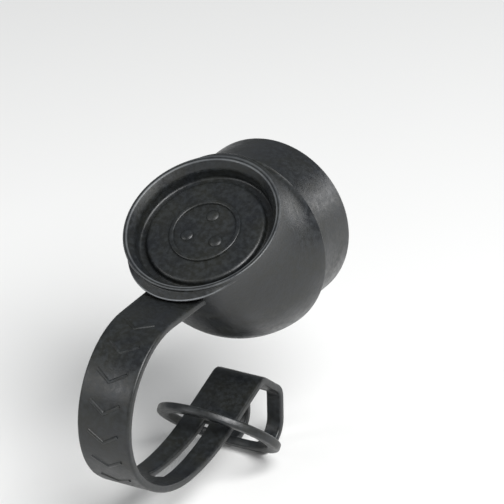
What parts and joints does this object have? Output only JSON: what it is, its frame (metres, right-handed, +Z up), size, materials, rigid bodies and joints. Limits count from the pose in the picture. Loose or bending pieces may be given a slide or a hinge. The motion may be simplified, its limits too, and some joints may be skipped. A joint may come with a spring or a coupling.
{
  "type": "connector sealing cover",
  "caption": "Moulded rubber sealing cover for a round panel socket: hollow plug, tilted dished head and a flat looped strap that runs through its own end ring.",
  "frame": {"origin": "on the spigot's axis, in the seat plane where the skirt meets the socket's face", "axes": "+Y along the spigot into the socket, +Z up, the head facing -Y and up, the strap's loop in the plane X = 0"},
  "size_m": [0.0173, 0.0307, 0.0298],
  "materials": {
    "cover_rubber": "satin"
  },
  "bodies": {
    "root": {"sealing_cover": "cover_rubber"}
  },
  "joints": []
}
